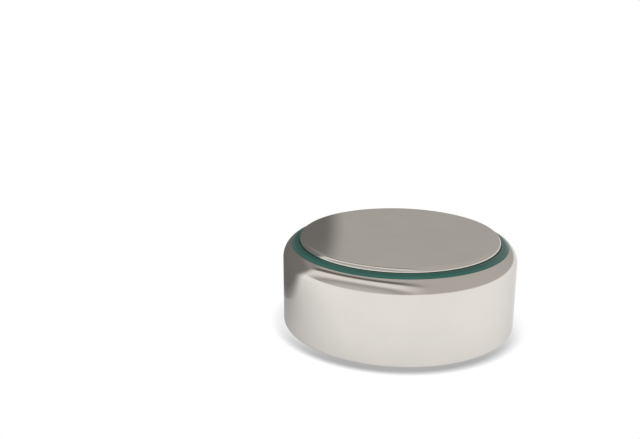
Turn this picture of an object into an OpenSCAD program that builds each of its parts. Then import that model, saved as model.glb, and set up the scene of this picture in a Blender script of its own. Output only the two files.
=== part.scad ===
// Alkaline button cell of the 626 size, lying on its positive base.
// Origin at the middle of the base, +Z up through the negative cap.
// Every piece is a revolved section, so each is drawn as half a cross-section.

/* [Cell] */
// Diameter of the can's wall
can_d = 6.8; // [5.8:0.1:11.6]
// Height over the base and the cap's flat face
cell_h = 2.6; // [2.2:0.05:5.4]

/* [Positive can] */
// Thickness of the can's wall and rim
can_t = 0.16; // [0.1:0.01:0.2]
// Thickness of the can's base
can_base_t = 0.15; // [0.13:0.01:0.25]
// Outside radius of the corner between base and wall
can_corner_r = 0.08; // [0.04:0.01:0.13]
// Outside radius of the crimped rim
can_curl_r = 0.5; // [0.4:0.01:0.6]
// Angle that the crimped rim turns through, from the upright wall
can_curl_sweep = 60; // [54:1:72]

/* [Negative cap] */
// Thickness of the cap's clad sheet
cap_t = 0.13; // [0.1:0.01:0.15]
// Outside radius of the coined edge of the flat face
cap_edge_r = 0.08; // [0.05:0.01:0.2]
// Inside radius of the same edge
cap_edge_in_r = 0.03; // [0.02:0.01:0.1]
// Height of the flat face above the can's rim
cap_rise = 0.21; // [0.16:0.01:0.3]
// Gap inside the folded-back skirt
cap_fold_gap = 0.04; // [0.03:0.01:0.08]

/* [Sealing gasket] */
// Thickness of the gasket between the can and the cap's skirt
gasket_t = 0.15; // [0.1:0.01:0.2]
// Thickness of the foot under the skirt
gasket_foot_t = 0.15; // [0.1:0.01:0.2]
// How far the foot reaches inside the skirt
gasket_foot_reach = 0.07; // [0.04:0.01:0.3]
// Height of the gasket's inner edge above the can's rim
gasket_rise = 0.07; // [0.04:0.01:0.1]
// Height of the rounded bead above a straight line between its edges
gasket_bead_h = 0.03; // [0.01:0.005:0.05]
// Depth at which the bead meets the end of the can's rim
gasket_inset = 0.01; // [0.005:0.005:0.04]

/* [Cathode] */
// Height of the cathode pellet
cathode_h = 0.85; // [0.5:0.05:1.1]
// Thickness of the steel ring round the pellet
ring_t = 0.1; // [0.05:0.01:0.15]
// Width of the ring's flange on the pellet's top edge
ring_flange_w = 0.5; // [0.3:0.05:0.7]

/* [Separator] */
// Thickness of the barrier film
film_t = 0.05; // [0.03:0.01:0.1]
// Gap between the film's edge and the can
film_clear = 0.05; // [0.02:0.01:0.15]
// Thickness of the absorbent pad
pad_t = 0.15; // [0.1:0.01:0.25]
// Gap between the pad's edge and the gasket's foot
pad_clear = 0.03; // [0.01:0.01:0.1]

/* [Anode] */
// Empty height between the zinc gel and the underside of the cap
gel_headspace = 0.08; // [0.04:0.01:0.3]

/* [Hidden] */
$fn = 96;

// Radii, from the wall inwards
can_r = can_d / 2;
can_in_r = can_r - can_t;
skirt_r = can_in_r - gasket_t;
fold_in_r = cap_fold_gap / 2;
fold_out_r = fold_in_r + cap_t;
cap_r = skirt_r - cap_t - cap_fold_gap;
cap_in_r = cap_r - cap_t;
fold_r = cap_r + fold_in_r;
foot_in_r = cap_in_r - gasket_foot_reach;
pellet_r = can_in_r - ring_t;
flange_in_r = can_in_r - ring_flange_w;

// Heights, from the base upwards
pellet_top = can_base_t + cathode_h;
film_top = pellet_top + film_t;
foot_top = film_top + gasket_foot_t;
pad_top = film_top + pad_t;
fold_z = foot_top + fold_out_r;
rim_top = cell_h - cap_rise;
wall_top = rim_top - can_curl_r * sin(can_curl_sweep);
gasket_top = rim_top + gasket_rise;
gel_top = cell_h - cap_t - gel_headspace;

// The crimped rim bends about this point, and its end is a flat that faces inwards
curl_c = [can_r - can_curl_r, wall_top];
curl_in_r = can_curl_r - can_t;
rim_mid = curl_c + (can_curl_r - can_t / 2) * dir(can_curl_sweep);
bead_end = curl_c + (can_curl_r - gasket_inset) * dir(can_curl_sweep);

// Direction of an angle, from the radius towards the axis upwards
function dir(a) = [cos(a), sin(a)];

// Sector of a disc about c, between two angles up to 180 degrees apart
module sector(c, r, from, to) {
    translate(c)
        intersection() {
            circle(r);
            polygon(concat([[0, 0]], [for (a = [from, (from + to) / 2, to]) 2 * r * dir(a)]));
        }
}

// Bend in a sheet, about c
module bend(c, r_out, r_in, from, to) {
    difference() {
        sector(c, r_out, from, to);
        translate(c)
            circle(r_in);
    }
}

// Rectangle between two radii and two heights
module band(r_in, r_out, z_low, z_high) {
    translate([r_in, z_low])
        square([r_out - r_in, z_high - z_low]);
}

// Disc whose edge runs through a and b, and bulges by rise past the line between them
module bulge(a, b, rise) {
    run = b - a;
    chord = norm(run);
    r = chord * chord / (8 * rise) + rise / 2;
    translate((a + b) / 2 + (rise - r) * [-run.y, run.x] / chord)
        circle(r);
}

// Drawn steel cup, its rim curled inwards over the gasket
module positive_can() {
    color("silver")
        rotate_extrude()
            union() {
                difference() {
                    union() {
                        band(0, can_r - can_corner_r, 0, wall_top);
                        band(0, can_r, can_corner_r, wall_top);
                        translate([can_r - can_corner_r, can_corner_r])
                            circle(can_corner_r);
                    }
                    band(0, can_in_r, can_base_t, cell_h);
                }
                bend(curl_c, can_curl_r, curl_in_r, 0, can_curl_sweep);
            }
}

// Thin ring with an L section, pressed round the pellet's top edge
module cathode_ring() {
    color("lightsteelblue")
        rotate_extrude()
            union() {
                band(pellet_r, can_in_r, can_base_t, pellet_top);
                band(flange_in_r, can_in_r, pellet_top - ring_t, pellet_top);
            }
}

// Pressed disc with a rebate for the ring's flange
module cathode_pellet() {
    color("dimgray")
        rotate_extrude()
            difference() {
                band(0, pellet_r, can_base_t, pellet_top);
                band(flange_in_r, can_in_r, pellet_top - ring_t, cell_h);
            }
}

module separator_film() {
    color("lightcyan")
        translate([0, 0, pellet_top])
            cylinder(h = film_t, r = can_in_r - film_clear);
}

module absorbent_pad() {
    color("ivory")
        translate([0, 0, film_top])
            cylinder(h = pad_t, r = foot_in_r - pad_clear);
}

// Everything that the cap fills or shuts in, seen from the gasket
module cap_room() {
    band(0, cap_r, foot_top, cell_h);
    band(0, fold_r, foot_top, wall_top);
    band(0, skirt_r, fold_z, wall_top);
    translate([fold_r, fold_z])
        circle(fold_out_r);
}

// What the gasket's lip may fill: all that lies inwards of the can's rim
module lip_room() {
    polygon([
        [cap_in_r, fold_z],
        curl_c,
        curl_c + 2 * can_curl_r * dir(can_curl_sweep),
        [cap_in_r, 2 * cell_h]
    ]);
}

// Nylon ring with a foot under the skirt and a lip crimped over it
module sealing_gasket() {
    color("darkslategray")
        rotate_extrude()
            difference() {
                union() {
                    band(foot_in_r, can_in_r, film_top, wall_top);
                    translate(curl_c)
                        circle(curl_in_r);
                    intersection() {
                        lip_room();
                        union() {
                            band(cap_in_r, can_r, fold_z, rim_mid.y);
                            bulge([cap_r, gasket_top], bead_end, gasket_bead_h);
                        }
                    }
                }
                cap_room();
            }
}

// Half of a block with a flat top and a rounded edge round it
module rounded_top(r, z_low, z_top, edge_r) {
    band(0, r, z_low, z_top - edge_r);
    band(0, r - edge_r, z_low, z_top);
    translate([r - edge_r, z_top - edge_r])
        circle(edge_r);
}

// Room inside the cap's plate and side
module cap_inside() {
    rounded_top(cap_in_r, film_top, cell_h - cap_t, cap_edge_in_r);
}

// Zinc gel, stepped where the gasket's foot stands higher than the pad
module anode_gel() {
    color("slategray")
        rotate_extrude()
            difference() {
                intersection() {
                    cap_inside();
                    band(0, cap_in_r, pad_top, gel_top);
                }
                band(foot_in_r, can_in_r, film_top, foot_top);
            }
}

// Drawn cup with its skirt folded back outwards on itself
module negative_cap() {
    color("gainsboro")
        rotate_extrude()
            union() {
                difference() {
                    rounded_top(cap_r, fold_z, cell_h, cap_edge_r);
                    cap_inside();
                }
                bend([fold_r, fold_z], fold_out_r, fold_in_r, 180, 360);
                band(skirt_r - cap_t, skirt_r, fold_z, wall_top);
            }
}

positive_can();
cathode_ring();
cathode_pellet();
separator_film();
absorbent_pad();
sealing_gasket();
anode_gel();
negative_cap();
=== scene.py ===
import math
import bpy
import bmesh
from mathutils import Matrix, Vector


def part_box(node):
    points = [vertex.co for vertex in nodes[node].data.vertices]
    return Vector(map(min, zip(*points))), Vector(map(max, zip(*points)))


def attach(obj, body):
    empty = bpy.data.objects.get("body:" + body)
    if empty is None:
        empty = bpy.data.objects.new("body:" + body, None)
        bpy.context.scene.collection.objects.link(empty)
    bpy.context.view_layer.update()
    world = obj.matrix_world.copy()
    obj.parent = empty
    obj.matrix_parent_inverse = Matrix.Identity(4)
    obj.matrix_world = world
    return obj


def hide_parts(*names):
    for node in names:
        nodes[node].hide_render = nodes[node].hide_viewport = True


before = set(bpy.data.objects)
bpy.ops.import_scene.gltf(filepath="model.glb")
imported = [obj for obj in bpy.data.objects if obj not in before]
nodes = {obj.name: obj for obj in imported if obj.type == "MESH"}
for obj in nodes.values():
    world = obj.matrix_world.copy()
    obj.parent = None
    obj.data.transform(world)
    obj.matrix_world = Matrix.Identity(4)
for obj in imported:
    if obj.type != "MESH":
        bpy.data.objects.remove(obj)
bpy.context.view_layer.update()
mm = 0.001
print("frame loaded with", len(nodes), "nodes")


def polar(centre, radius, degrees):
    turn = math.radians(degrees)
    return (centre[0] + radius * math.cos(turn), centre[1] + radius * math.sin(turn))


def arc(centre, radius, start, end, steps):
    return [polar(centre, radius, start + (end - start) * i / steps) for i in range(steps + 1)]


def bulge(a, b, rise, steps):
    # the arc from a to b that swells by rise to the right of the way from a to b
    chord = math.dist(a, b)
    radius = chord * chord / (8 * rise) + rise / 2
    middle = ((a[0] + b[0]) / 2, (a[1] + b[1]) / 2)
    out = ((b[1] - a[1]) / chord, (a[0] - b[0]) / chord)
    centre = (middle[0] - out[0] * (radius - rise), middle[1] - out[1] * (radius - rise))
    start, end = [math.degrees(math.atan2(p[1] - centre[1], p[0] - centre[0])) for p in (a, b)]
    return arc(centre, radius, start, end, steps)


def rounded(before, corner, after, radius, steps):
    # the corner between two straight runs, rounded off
    first, last = [math.degrees(math.atan2(p[1] - corner[1], p[0] - corner[0])) for p in (before, after)]
    turn = (last - first + 180) % 360 - 180
    side = math.copysign(1, turn)
    centre = polar(corner, radius / math.sin(math.radians(abs(turn) / 2)), first + turn / 2)
    start = first - side * 90
    return arc(centre, radius, start, start - side * (180 - abs(turn)), steps)


def put(name, data):
    # an object that holds the data, linked to the scene
    made = bpy.data.objects.new(name, data)
    bpy.context.collection.objects.link(made)
    return made


def held(points, hold, longest):
    # adds loops beside each corner of a long flat, and along it, so that smooth shading stays on the bends
    out = [points[0]]
    for a, b in zip(points, points[1:]):
        length = math.dist(a, b)
        if length > 3 * hold:   # a shorter flat has no room for them
            span = length - 2 * hold
            parts = max(1, math.ceil(span / longest))
            stops = [hold + span * i / parts for i in range(parts + 1)]
            out += [(a[0] + (b[0] - a[0]) * s / length, a[1] + (b[1] - a[1]) * s / length) for s in stops]
        out.append(b)
    return out


class Signal:
    # a socket that Python's operators work on
    def __init__(self, sheet, socket):
        self.sheet = sheet
        self.socket = socket

    def also(self, output):
        # another output of the same node
        return Signal(self.sheet, self.socket.node.outputs[output])

    def swing(self, depth):
        # how far a noise lies from its middle, times depth
        return (self - 0.5) * depth

    def maths(self, operation, *others):
        inputs = dict(enumerate((self,) + others))
        return self.sheet.node("ShaderNodeMath", {"operation": operation}, inputs)

    def __add__(self, other):
        return self.maths("ADD", other)

    def __mul__(self, other):
        return self.maths("MULTIPLY", other)

    def __sub__(self, other):
        return self.maths("SUBTRACT", other)

    def __truediv__(self, other):
        return self.maths("DIVIDE", other)

    def __pow__(self, other):
        return self.maths("POWER", other)

    def __rsub__(self, other):
        return self.sheet.node("ShaderNodeMath", {"operation": "SUBTRACT"}, {0: other, 1: self})

    def __rtruediv__(self, other):
        return self.sheet.node("ShaderNodeMath", {"operation": "DIVIDE"}, {0: other, 1: self})

    __radd__ = __add__
    __rmul__ = __mul__


class Sheet:
    # a node tree, and the one way that nodes are put on it
    def __init__(self, tree):
        self.tree = tree
        tree.nodes.clear()

    def node(self, kind, settings=None, inputs=None, output=0):
        made = self.tree.nodes.new(kind)
        for name, value in (settings or {}).items():
            if name == "stops":
                self.setStops(made.color_ramp, value)
            else:
                setattr(made, name, value)
        for key, value in (inputs or {}).items():
            if isinstance(value, Signal):
                self.tree.links.new(value.socket, made.inputs[key])
            else:
                made.inputs[key].default_value = value
        return Signal(self, made.outputs[output]) if made.outputs else made

    def setStops(self, ramp, stops):
        while len(ramp.elements) < len(stops):
            ramp.elements.new(1)
        for element, (place, colour) in zip(ramp.elements, stops):
            element.position = place
            element.color = colourOf(colour)

    def place(self):
        # where a point lies on the object, in metres
        return self.node("ShaderNodeTexCoord", output="Object")

    def axis(self, vector, letter):
        return self.node("ShaderNodeSeparateXYZ", {}, {0: vector}, output=letter)

    def ramp(self, value, low, high, first=0.0, last=1.0):
        # first at low, last at high, smooth between
        settings = {"interpolation_type": "SMOOTHSTEP"}
        inputs = {"Value": value, "From Min": low, "From Max": high, "To Min": first, "To Max": last}
        return self.node("ShaderNodeMapRange", settings, inputs)

    def noise(self, vector, scale, detail=3.0, roughness=0.5):
        inputs = {"Vector": vector, "Scale": scale, "Detail": detail, "Roughness": roughness}
        return self.node("ShaderNodeTexNoise", {}, inputs)

    def mix(self, factor, a, b):
        # sockets 6 and 7 and output 2 are a Mix node's colours
        settings = {"data_type": "RGBA"}
        return self.node("ShaderNodeMix", settings, {0: factor, 6: a, 7: b}, output=2)

    def fixed(self, vector):
        return self.node("ShaderNodeCombineXYZ", {}, dict(enumerate(vector)))

    def vectorMaths(self, operation, inputs, output=0):
        return self.node("ShaderNodeVectorMath", {"operation": operation}, dict(enumerate(inputs)), output)

    def stretched(self, vector, scale):
        return self.vectorMaths("MULTIPLY", (vector, scale))

    def length(self, vector):
        return self.vectorMaths("LENGTH", (vector,), "Value")

    def distance(self, a, b):
        return self.vectorMaths("DISTANCE", (a, b), "Value")

    def bump(self, height, distance, strength, normal=None):
        inputs = {"Height": height, "Distance": distance, "Strength": strength}
        if normal:
            inputs["Normal"] = normal
        return self.node("ShaderNodeBump", {}, inputs)

    def skin(self, inputs):
        shader = self.node("ShaderNodeBsdfPrincipled", {}, inputs)
        self.node("ShaderNodeOutputMaterial", {}, {0: shader})


def newMaterial(name):
    material = bpy.data.materials.new(name)
    material.use_nodes = True
    return material, Sheet(material.node_tree)


def colourOf(values):
    return (*values, 1)


def revolveTree():
    # turns a section, drawn as a line of points in XZ, into a closed skin round the Z axis
    tree = bpy.data.node_groups.new("turnedSection", "GeometryNodeTree")
    sheet = Sheet(tree)
    inputs = {
        "Section": "Geometry",
        "Segments": "Int",
        "Weld": "Float",
        "Crease": "Float",
        "Finish": "Material",
    }
    for name, kind in inputs.items():
        tree.interface.new_socket(name, in_out="INPUT", socket_type="NodeSocket" + kind)
    tree.interface.new_socket("Skin", in_out="OUTPUT", socket_type="NodeSocketGeometry")
    entry = tree.nodes.new("NodeGroupInput")
    section, segments, weld, crease, finish = [Signal(sheet, entry.outputs[name]) for name in inputs]
    count = sheet.node("GeometryNodeAttributeDomainSize", {"component": "MESH"}, {0: section})
    columns = segments + 1
    grid = sheet.node("GeometryNodeMeshGrid", {}, {"Vertices X": count, "Vertices Y": columns})
    index = sheet.node("GeometryNodeInputIndex")
    place = (index / columns).maths("FLOOR")
    # clockwise from above, so that the faces of a counterclockwise section look outwards
    turn = (place * columns - index) / segments * (2 * math.pi)
    position = sheet.node("GeometryNodeInputPosition")
    settings = {"data_type": "FLOAT_VECTOR", "domain": "POINT"}
    point = sheet.node("GeometryNodeSampleIndex", settings, {0: section, 1: position, 2: place})
    radius = sheet.axis(point, "X")
    goal = sheet.node("ShaderNodeCombineXYZ", {}, {
        "X": radius * turn.maths("COSINE"),
        "Y": radius * turn.maths("SINE"),
        "Z": radius.also("Z"),
    })
    moved = sheet.node("GeometryNodeSetPosition", {}, {"Geometry": grid, "Position": goal})
    welded = sheet.node("GeometryNodeMergeByDistance", {}, {"Geometry": moved, "Distance": weld})
    smooth = sheet.node("GeometryNodeSetShadeSmooth", {"domain": "FACE"}, {"Geometry": welded})
    angle = sheet.node("GeometryNodeInputMeshEdgeAngle")
    sharp = sheet.node("FunctionNodeCompare", {"operation": "GREATER_THAN"}, {0: angle, 1: crease})
    creased = sheet.node("GeometryNodeSetShadeSmooth", {"domain": "EDGE"},
                         {"Geometry": smooth, "Selection": sharp, "Shade Smooth": False})
    real = sheet.node("GeometryNodeRealizeInstances", {}, {"Geometry": creased})
    painted = sheet.node("GeometryNodeSetMaterial", {}, {"Geometry": real, "Material": finish})
    leave = tree.nodes.new("NodeGroupOutput")
    tree.links.new(painted.socket, leave.inputs[0])
    return tree


turning = {
    "segments": 252,            # no multiple of 8, so that no edge runs through a corner of the sign
    "weld": 0.00002 * mm,       # closes the seam and the poles
    "crease": math.radians(38),     # a bend sharper than this keeps its edge
    "hold": 0.012 * mm,         # how near the extra loops lie to a bend
    "longest": 0.4 * mm,        # longest step along a flat
}
turnedSection = revolveTree()


def settle(piece):
    # leaves the piece as the plain mesh that its modifiers make
    bpy.context.view_layer.update()
    mesh = bpy.data.meshes.new_from_object(piece.evaluated_get(bpy.context.evaluated_depsgraph_get()))
    before = piece.data
    piece.modifiers.clear()
    piece.data = mesh
    bpy.data.meshes.remove(before)
    mesh.name = piece.name


def turned(name, section, material):
    # section runs counterclockwise, with the radius as X and the height as Y
    points = held(section, turning["hold"], turning["longest"])
    line = bpy.data.meshes.new(name + "Section")
    line.from_pydata([(r, 0, z) for r, z in points], [(i, i + 1) for i in range(len(points) - 1)], [])
    piece = put(name, line)
    modifier = piece.modifiers.new("turn", "NODES")
    modifier.node_group = turnedSection
    values = {"Segments": turning["segments"], "Weld": turning["weld"], "Crease": turning["crease"],
              "Finish": material}
    for item in turnedSection.interface.items_tree:
        if item.in_out == "INPUT" and item.name in values:
            modifier[item.identifier] = values[item.name]
    settle(piece)
    return piece


def standsFor(piece, node):
    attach(piece, "root")
    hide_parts(node)
    print("turned", piece.name, "with", len(piece.data.polygons), "faces")


def plating(name, look, mark=None):
    # plated sheet, drawn and then tumbled
    # it has a soft mottle, fine scuffs that run all ways and faint rings from the drawing die
    material, sheet = newMaterial(name)
    place = sheet.place()
    mottle = sheet.noise(place, look["mottleScale"])
    grain = sheet.noise(place, look["grainScale"], *look["grainDetail"])
    drawn = sheet.stretched(place, look["ringStretch"])
    rings = sheet.noise(drawn, look["ringScale"], look["ringDetail"])
    roughness = look["roughness"] + mottle.swing(look["mottleDepth"]) + grain.swing(look["grainDepth"])
    patches = sheet.ramp(mottle, *look["patches"])
    colour = sheet.mix(patches, colourOf(look["colour"]), colourOf(look["worn"]))
    if mark:
        # the floor of the stamped sign is left frosted by the die
        x = sheet.axis(place, "X").maths("ABSOLUTE")
        y = sheet.axis(place, "Y").maths("ABSOLUTE")
        half, reach = mark["stroke"] / 2, mark["span"] / 2
        across = y.maths("LESS_THAN", half) * x.maths("LESS_THAN", reach)
        upright = x.maths("LESS_THAN", half) * y.maths("LESS_THAN", reach)
        low = sheet.axis(place, "Z").maths("LESS_THAN", 2 * mark["depth"])
        frost = across.maths("MAXIMUM", upright) * low
        roughness = roughness + frost * mark["frost"]
        colour = sheet.mix(frost, colour, colourOf(mark["colour"]))
    fine = sheet.bump(grain, look["grainHeight"], look["bumpStrength"])
    sheet.skin({
        "Base Color": colour,
        "Metallic": 1.0,
        "Roughness": roughness,
        "Specular Tint": colourOf(look["edgeTint"]),
        "Normal": sheet.bump(rings, look["ringHeight"], look["bumpStrength"], fine),
    })
    return material


canLook = {
    "colour": (0.767, 0.729, 0.685),
    "worn": (0.742, 0.706, 0.664),
    "edgeTint": (0.8, 0.8, 0.8),        # what a grazing look at the metal brightens to
    "roughness": 0.13,
    "patches": (0.3, 0.7),      # the mottle's values between which the colour turns to the worn one
    "mottleScale": 900,
    "mottleDepth": 0.05,
    "grainScale": 26000,
    "grainDetail": (4.0, 0.6),
    "grainDepth": 0.05,
    "grainHeight": 0.0004 * mm,
    "ringStretch": (1, 1, 60),
    "ringScale": 500,
    "ringDetail": 2.0,
    "ringHeight": 0.0006 * mm,
    "bumpStrength": 0.35,
}
canMark = {
    "span": 1.5 * mm,
    "stroke": 0.14 * mm,
    "depth": 0.012 * mm,
    "frost": 0.25,              # how much rougher the frosted floor is
    "colour": (0.6, 0.57, 0.535),
}
canShape = {
    "wall": 0.16 * mm,
    "base": 0.15 * mm,
    "cornerRadius": 0.08 * mm,
    "curlRadius": 0.5 * mm,
    "curlSweep": 60,
    "edgeRadius": 0.02 * mm,    # rounding of the rim's sheared edge
    "cornerSteps": 20,
    "curlSteps": 36,
    "edgeSteps": 8,
    "insideSteps": 24,
}
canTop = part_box("positive_can")[1]
canRadius = canTop.x
canInside = canRadius - canShape["wall"]
curlInside = canShape["curlRadius"] - canShape["wall"]
wallTop = canTop.z - canShape["curlRadius"] * math.sin(math.radians(canShape["curlSweep"]))
curlCentre = (canRadius - canShape["curlRadius"], wallTop)


def canSection():
    shape = canShape
    corner = (canRadius - shape["cornerRadius"], shape["cornerRadius"])
    outer, sweep, edge = shape["curlRadius"], shape["curlSweep"], shape["edgeRadius"]
    bent = sweep - math.degrees(math.asin(edge / (outer - edge)))
    edgeCentre = polar(curlCentre, outer - edge, bent)
    return (
        [(0, 0)]
        + arc(corner, shape["cornerRadius"], -90, 0, shape["cornerSteps"])
        + arc(curlCentre, outer, 0, bent, shape["curlSteps"])
        + arc(edgeCentre, edge, bent, sweep + 90, shape["edgeSteps"])[1:]
        + arc(curlCentre, curlInside, sweep, 0, shape["insideSteps"])
        + [(canInside, shape["base"]), (0, shape["base"])]
    )


def stampMark(can, mark):
    # a shallow sign for the pole, pressed into the middle of the base
    half, reach = mark["stroke"] / 2, mark["span"] / 2
    arm = [(half, half), (half, reach), (-half, reach)]
    outline = arm + [(-y, x) for x, y in arm] + [(-x, -y) for x, y in arm] + [(y, -x) for x, y in arm]
    count = len(outline)
    points = [(x, y, z) for z in (-mark["depth"], mark["depth"]) for x, y in outline]
    sides = [(i, (i + 1) % count, (i + 1) % count + count, i + count) for i in range(count)]
    ends = [tuple(reversed(range(count))), tuple(range(count, 2 * count))]
    mesh = bpy.data.meshes.new("markDie")
    mesh.from_pydata(points, [], sides + ends)
    die = put("markDie", mesh)
    cut = can.modifiers.new("mark", "BOOLEAN")
    cut.operation = "DIFFERENCE"
    cut.solver = "EXACT"
    cut.object = die
    settle(can)
    can.data.set_sharp_from_angle(angle=turning["crease"])
    bpy.data.objects.remove(die)


can = turned("canShell", canSection(), plating("canPlating", canLook, canMark))
stampMark(can, canMark)
standsFor(can, "positive_can")

capLook = dict(canLook, roughness=0.16, ringStretch=(1, 1, 1))
capShape = {
    "sheet": 0.13 * mm,
    "edgeRadius": 0.05 * mm,    # the tight bend beside the flat
    "sideRadius": 0.15 * mm,    # the slower bend below it
    "edgeTurn": 50,             # where the one takes over from the other
    "insideRadius": 0.03 * mm,
    "foldGap": 0.04 * mm,       # gap inside the folded-back skirt
    "edgeSteps": 16,
    "sideSteps": 24,
    "insideSteps": 8,
    "foldSteps": 24,
}
capFoot, capTop = [corner.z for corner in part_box("negative_cap")]
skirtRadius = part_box("negative_cap")[1].x
capRadius = skirtRadius - capShape["sheet"] - capShape["foldGap"]
foldInside = capShape["foldGap"] / 2
foldOutside = foldInside + capShape["sheet"]
foldCentre = (capRadius + foldInside, capFoot + foldOutside)


def capSection():
    shape = capShape
    inside = capRadius - shape["sheet"]
    under = capTop - shape["sheet"]
    tight, slow, turn = shape["edgeRadius"], shape["sideRadius"], shape["edgeTurn"]
    inner = shape["insideRadius"]
    slowHeight = capTop - tight - (slow - tight) * math.sin(math.radians(turn))
    slowCentre = (capRadius - slow, slowHeight)
    tightCentre = polar(slowCentre, slow - tight, turn)
    return (
        [(0, under)]
        + arc((inside - inner, under - inner), inner, 90, 0, shape["insideSteps"])
        + arc(foldCentre, foldOutside, 180, 360, shape["foldSteps"])
        + [(skirtRadius, wallTop), (skirtRadius - shape["sheet"], wallTop)]
        + arc(foldCentre, foldInside, 360, 180, shape["foldSteps"] // 2)
        + arc(slowCentre, slow, 0, turn, shape["sideSteps"])
        + arc(tightCentre, tight, turn, 90, shape["edgeSteps"])[1:]
        + [(0, capTop)]
    )


cap = turned("capShell", capSection(), plating("capPlating", capLook))
standsFor(cap, "negative_cap")


def mouldedNylon(name, look):
    # dyed nylon, a little cloudy, with a painted sheen that turns it paler towards its outer edge beside
    # the can's rim
    material, sheet = newMaterial(name)
    place = sheet.place()
    cloud = sheet.noise(place, look["cloudScale"])
    grain = sheet.noise(place, look["grainScale"], look["grainDetail"])
    tone = sheet.mix(sheet.ramp(cloud, *look["patches"]), colourOf(look["colour"]), colourOf(look["light"]))
    radius = sheet.length(sheet.stretched(place, (1, 1, 0)))
    # painted sheen: the colour turns paler with the radius, towards the ring's outer edge
    paintedSheen = sheet.ramp(radius, *look["paintedSheenFrom"])
    sheet.skin({
        "Base Color": sheet.mix(paintedSheen, tone, colourOf(look["paintedSheen"])),
        "Roughness": look["roughness"] + grain.swing(look["grainDepth"]),
        "Specular IOR Level": look["sheen"],
        "Coat Weight": look["gloss"],
        "Coat Roughness": look["glossRoughness"],
        "Normal": sheet.bump(grain, look["grainHeight"], look["bumpStrength"]),
    })
    return material


ringLook = {
    "colour": (0.008, 0.074, 0.057),
    "light": (0.012, 0.092, 0.072),
    "paintedSheen": (0.032, 0.138, 0.114),      # painted sheen, paler towards the outer edge beside the can's rim
    "paintedSheenFrom": (3.02 * mm, 3.12 * mm),
    "patches": (0.3, 0.7),
    "roughness": 0.3,
    "sheen": 0.25,
    "gloss": 0.25,
    "glossRoughness": 0.08,
    "cloudScale": 700,
    "grainScale": 12000,
    "grainDetail": 4.0,
    "grainDepth": 0.1,
    "grainHeight": 0.0008 * mm,
    "bumpStrength": 0.4,
}
ringShape = {
    "innerRise": 0.07 * mm,     # height of its inner edge above the can
    "beadHeight": 0.03 * mm,
    "lipRadius": 0.032 * mm,    # rounding beside the cap
    "inset": 0.01 * mm,         # depth at which the bead meets the end of the can's rim
    "footReach": 0.07 * mm,     # how far the foot reaches inside the cap's skirt
    "beadSteps": 24,
    "lipTakes": 3,              # steps of the bead that the lip's rounding takes the place of
    "lipSteps": 6,
}


def ringSection():
    shape = ringShape
    inside = (capRadius, canTop.z + shape["innerRise"])
    outside = polar(curlCentre, canShape["curlRadius"] - shape["inset"], canShape["curlSweep"])
    crown = bulge(outside, inside, shape["beadHeight"], shape["beadSteps"])[:-shape["lipTakes"]]
    footRadius = capRadius - capShape["sheet"] - shape["footReach"]
    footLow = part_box("sealing_gasket")[0].z
    return (
        [(footRadius, footLow), (canInside, footLow)]
        + arc(curlCentre, curlInside, 0, canShape["curlSweep"], canShape["insideSteps"])
        + crown
        + rounded(crown[-1], inside, (capRadius, wallTop), shape["lipRadius"], shape["lipSteps"])
        + [(capRadius, wallTop), (skirtRadius, wallTop)]
        + arc(foldCentre, foldOutside, 360, 270, capShape["foldSteps"] // 2)
        + [(footRadius, capFoot), (footRadius, footLow)]
    )


ring = turned("sealRing", ringSection(), mouldedNylon("greenNylon", ringLook))
standsFor(ring, "sealing_gasket")


def granular(name, look):
    # packed grains, each with a tone of its own, some of them bright
    material, sheet = newMaterial(name)
    place = sheet.place()
    grains = sheet.node("ShaderNodeTexVoronoi", {}, {"Vector": place, "Scale": look["grainScale"]})
    tone = sheet.node("ShaderNodeSeparateColor", {}, {0: grains.also("Color")})
    cloud = sheet.noise(place, look["cloudScale"])
    own = look["grainShare"]
    patches = sheet.ramp(tone * own + cloud * (1 - own), *look["patches"])
    body = sheet.mix(patches, colourOf(look["colour"]), colourOf(look["light"]))
    fleck = sheet.ramp(tone.also("Green"), 1 - look["flecks"], 1.0)
    height = 1 - grains * look["grainScale"] * look["grainFall"]
    sheet.skin({
        "Base Color": sheet.mix(fleck, body, colourOf(look["fleck"])),
        "Metallic": fleck * look["fleckMetal"],
        "Roughness": look["roughness"] - fleck * look["fleckPolish"] + cloud.swing(look["cloudDepth"]),
        "Normal": sheet.bump(height, look["grainHeight"], look["bumpStrength"]),
    })
    return material


def fibrous(name, look):
    # fine fibres laid in two directions, over a cloudy base
    material, sheet = newMaterial(name)
    place = sheet.place()
    first, second = [
        sheet.noise(sheet.stretched(place, scale), look["fibreScale"], look["fibreDetail"])
        for scale in ((1, look["stretch"], 1), (look["stretch"], 1, 1))
    ]
    fibres = first.maths("MAXIMUM", second)
    cloud = sheet.noise(place, look["cloudScale"])
    own = look["fibreShare"]
    tone = sheet.ramp(fibres * own + cloud * (1 - own), *look["patches"])
    sheet.skin({
        "Base Color": sheet.mix(tone, colourOf(look["colour"]), colourOf(look["light"])),
        "Roughness": look["roughness"] + fibres.swing(look["fibreDepth"]),
        "Normal": sheet.bump(fibres, look["fibreHeight"], look["bumpStrength"]),
    })
    return material


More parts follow.
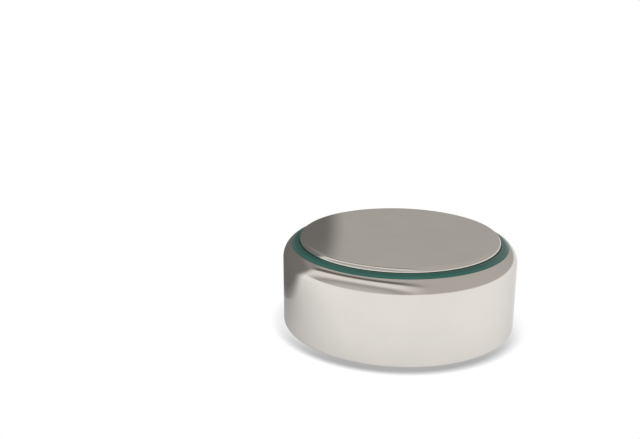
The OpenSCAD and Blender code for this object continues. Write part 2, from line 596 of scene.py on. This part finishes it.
innerSteel = dict(canLook, colour=(0.56, 0.55, 0.53), worn=(0.5, 0.49, 0.475), roughness=0.3)
grainFinish = {
    "grainShare": 0.6,          # share of the tone that is a grain's own, the rest being the cloud's
    "patches": (0.2, 0.8),
    "fleckPolish": 0.25,        # how much smoother a bright grain is
    "cloudDepth": 0.1,
    "grainFall": 0.5,           # how fast a grain's height drops towards its edge
    "bumpStrength": 0.6,
}
pelletMix = {
    **grainFinish,
    "colour": (0.012, 0.012, 0.013),
    "light": (0.045, 0.044, 0.046),
    "fleck": (0.16, 0.16, 0.17),
    "flecks": 0.12,
    "fleckMetal": 0.5,
    "roughness": 0.75,
    "grainScale": 16000,
    "cloudScale": 1500,
    "grainHeight": 0.008 * mm,
}
zincGel = {
    **grainFinish,
    "colour": (0.13, 0.135, 0.145),
    "light": (0.24, 0.245, 0.255),
    "fleck": (0.62, 0.63, 0.65),
    "flecks": 0.4,
    "fleckMetal": 1.0,
    "roughness": 0.5,
    "grainScale": 11000,
    "cloudScale": 1200,
    "grainHeight": 0.02 * mm,
}
fibreFinish = {
    "fibreShare": 0.7,          # share of the tone that is the fibres', the rest being the cloud's
    "patches": (0.35, 0.65),
    "fibreDepth": 0.2,
    "fibreDetail": 2.0,
    "bumpStrength": 0.6,
}
padFibre = {
    **fibreFinish,
    "colour": (0.7, 0.68, 0.62),
    "light": (0.86, 0.85, 0.8),
    "roughness": 0.85,
    "stretch": 0.06,
    "fibreScale": 30000,
    "cloudScale": 900,
    "fibreHeight": 0.006 * mm,
}
filmCellulose = {
    **fibreFinish,
    "colour": (0.66, 0.68, 0.64),
    "light": (0.78, 0.8, 0.76),
    "roughness": 0.35,
    "stretch": 0.2,
    "fibreScale": 9000,
    "cloudScale": 700,
    "fibreHeight": 0.001 * mm,
}
insides = {
    "cathode_ring": plating("innerSteel", innerSteel),
    "cathode_pellet": granular("pelletMix", pelletMix),
    "separator_film": fibrous("filmCellulose", filmCellulose),
    "absorbent_pad": fibrous("padFibre", padFibre),
    "anode_gel": granular("zincGel", zincGel),
}
for node, material in insides.items():
    for place in nodes[node].material_slots:
        place.material = material
print("finished", len(insides), "pieces inside the cell")

floorLook = {
    "half": 600 * mm,
    "drop": 0.002 * mm,
    "colour": (0.9, 0.9, 0.9),
    "shadowSamples": 16,
    "shadowReach": 0.42 * mm,
    "shadowDepth": 1.6,
    "shadowFloor": 0.42,        # tone right beside the cell
    "shadowLean": (0.25, 0.55, 0.8),    # where the light comes from
    "shadowFade": (-3.2 * mm, -0.3 * mm, 0.25),     # weaker along Y, towards that light
    "mirroredReach": 4 * mm,    # reach, depth and lean where the cell's wall mirrors the floor
    "mirroredDepth": 0.25,
    "mirroredLean": (0.45, 0.2, 0.87),
    "flagShade": (-1.5 * mm, 5.8 * mm, 0.48),   # the flag darkens the mirrored floor round its foot
    "openRadius": 3.3 * mm,     # clear within this, so that a look from below shows the base
}


def paperFloor(look):
    # white, with a soft shadow round what stands on it
    mesh = bpy.data.meshes.new("floor")
    half, low = look["half"], -look["drop"]
    corners = [(-half, -half, low), (half, -half, low), (half, half, low), (-half, half, low)]
    mesh.from_pydata(corners, [], [(0, 1, 2, 3)])
    floor = put("floor", mesh)
    paper, sheet = newMaterial("paper")
    seen = sheet.node("ShaderNodeLightPath", output="Is Camera Ray")
    mirrored = seen.also("Is Glossy Ray")
    plain = sheet.node("ShaderNodeBsdfDiffuse", {}, {"Color": colourOf(look["colour"])})
    near, wide = [
        sheet.node("ShaderNodeAmbientOcclusion", {"samples": look["shadowSamples"]},
                   {"Distance": look[reach], "Normal": sheet.fixed(Vector(look[lean]).normalized())}, "AO")
        for reach, lean in (("shadowReach", "shadowLean"), ("mirroredReach", "mirroredLean"))
    ]
    place = sheet.place()
    start, end, weakest = look["shadowFade"]
    strength = sheet.ramp(sheet.axis(place, "Y"), start, end, 1.0, weakest)
    shade = 1 - strength * (1 - (near ** look["shadowDepth"]).maths("MAXIMUM", look["shadowFloor"]))
    away = sheet.distance(place, sheet.fixed((*flagLook["centre"][:2], 0)))
    start, end, deepest = look["flagShade"]
    dim = wide ** look["mirroredDepth"] * sheet.ramp(away, start, end, deepest, 1.0)
    # a straight look sees the shadow, and the metal mirrors a dimmer floor
    tone = shade * (1 - mirrored) + dim * mirrored
    glow = sheet.node("ShaderNodeEmission", {}, {"Strength": tone})
    shown = sheet.node("ShaderNodeMixShader", {}, {0: seen.maths("MAXIMUM", mirrored), 1: plain, 2: glow})
    # clear from below, and under the cell
    below = sheet.node("ShaderNodeNewGeometry", output="Backfacing")
    hole = below.maths("MAXIMUM", sheet.length(place).maths("LESS_THAN", look["openRadius"]))
    clear = sheet.node("ShaderNodeBsdfTransparent")
    surface = sheet.node("ShaderNodeMixShader", {}, {0: hole, 1: shown, 2: clear})
    sheet.node("ShaderNodeOutputMaterial", {}, {0: surface})
    mesh.materials.append(paper)


flagLook = {
    "radius": 3.9 * mm,
    "centre": (-4.4 * mm, 1.2 * mm, 3.4 * mm),
    "facing": (0.643, -0.766, 0),
    "softFrom": 2.9 * mm,       # radius at which its edge starts to fade
    "segments": 96,
    "stops": (                  # tone by height, in shares of its diameter
        (0.5, (0.2, 0.193, 0.188)),
        (0.64, (0.31, 0.302, 0.294)),
        (1.0, (0.34, 0.331, 0.322)),
    ),
}


def flag(look):
    # a dark round card beside the cell, which only its mirror-like metal shows
    mesh = bpy.data.meshes.new("flag")
    model = bmesh.new()
    bmesh.ops.create_circle(model, cap_ends=True, segments=look["segments"], radius=look["radius"])
    turn = Vector(look["facing"]).to_track_quat("Z", "Y").to_matrix().to_4x4()
    model.transform(Matrix.Translation(look["centre"]) @ turn)
    model.to_mesh(mesh)
    model.free()
    card = put("flag", mesh)
    card.visible_camera = False
    card.visible_diffuse = False
    card.visible_shadow = False
    card.visible_transmission = False
    material, sheet = newMaterial("flagCard")
    place = sheet.place()
    height = sheet.axis(place, "Z") / (2 * look["radius"])
    tone = sheet.node("ShaderNodeValToRGB", {"stops": look["stops"]}, {0: height})
    glow = sheet.node("ShaderNodeEmission", {}, {"Color": tone})
    away = sheet.distance(place, sheet.fixed(look["centre"]))
    fade = sheet.ramp(away, look["softFrom"], look["radius"])
    clear = sheet.node("ShaderNodeBsdfTransparent")
    surface = sheet.node("ShaderNodeMixShader", {}, {0: fade, 1: glow, 2: clear})
    sheet.node("ShaderNodeOutputMaterial", {}, {0: surface})
    mesh.materials.append(material)


# only the cell's mirror-like metal shows the long soft box overhead and the dark edge beside it
studio = {
    "room": (0.522, 0.506, 0.489),
    "backdrop": (1, 1, 1),
    "boxAcross": (-0.66, -0.722, -0.208),
    "boxStops": (               # tone across it: 1 is straight along boxAcross, 0 straight against it
        (0.47, (0.522, 0.506, 0.489)),
        (0.53, (0.11, 0.105, 0.1)),
        (0.59, (0.11, 0.105, 0.1)),
        (0.64, (0.92, 0.9, 0.88)),
        (0.75, (0.88, 0.86, 0.84)),
        (0.84, (0.38, 0.37, 0.36)),
        (0.97, (0.62, 0.61, 0.59)),
    ),
    "boxEnds": (0.43, -0.15),   # X of a direction where it has faded out, and where it is full
    "keySize": 60 * mm,
    "keyPower": 0.02,
    "keyPlace": (-10 * mm, -10 * mm, 70 * mm),
}


def lights(look):
    world = bpy.data.worlds.new("studio")
    bpy.context.scene.world = world
    world.use_nodes = True
    sheet = Sheet(world.node_tree)
    seen = sheet.node("ShaderNodeLightPath", output="Is Camera Ray")
    way = sheet.node("ShaderNodeTexCoord", output="Generated")
    across = sheet.vectorMaths("DOT_PRODUCT", (way, look["boxAcross"]), "Value")
    box = sheet.node("ShaderNodeValToRGB", {"stops": look["boxStops"]}, {0: across / 2 + 0.5})
    end, full = look["boxEnds"]
    shown = sheet.ramp(-1 * sheet.axis(way, "X"), -end, -full) * seen.also("Is Glossy Ray")
    room = sheet.mix(shown, colourOf(look["room"]), box)
    tone = sheet.mix(seen, room, colourOf(look["backdrop"]))
    light = sheet.node("ShaderNodeBackground", {}, {"Color": tone})
    sheet.node("ShaderNodeOutputWorld", {}, {0: light})
    lamp = bpy.data.lights.new("key", "AREA")
    lamp.shape = "DISK"
    lamp.size = look["keySize"]
    lamp.energy = look["keyPower"]
    key = put("key", lamp)
    key.location = look["keyPlace"]
    key.rotation_euler = (-key.location).to_track_quat("-Z", "Y").to_euler()
    key.visible_glossy = False


cameraPlace = {
    "focal": 800,               # in pixels
    "frameAcross": 640,         # in pixels too
    "filmAcross": 36,           # in mm
    "nearest": 1 * mm,
    "tilt": 16.41,
    "base": (2.322, 2.927, 24.129),     # middle of the base, right, down and ahead of the camera, in mm
}


def lookFrom(look):
    lens = bpy.data.cameras.new("camera")
    lens.sensor_width = look["filmAcross"]
    lens.lens = look["focal"] * look["filmAcross"] / look["frameAcross"]
    lens.clip_start = look["nearest"]
    tilt = math.radians(look["tilt"])
    right, down, ahead = [length * mm for length in look["base"]]
    camera = put("camera", lens)
    camera.location = (-right, down * math.sin(tilt) - ahead * math.cos(tilt),
                       down * math.cos(tilt) + ahead * math.sin(tilt))
    camera.rotation_euler = (math.pi / 2 - tilt, 0, 0)
    bpy.context.scene.camera = camera


paperFloor(floorLook)
flag(flagLook)
lights(studio)
lookFrom(cameraPlace)
bpy.context.scene.view_settings.view_transform = "Standard"
print("stage set")
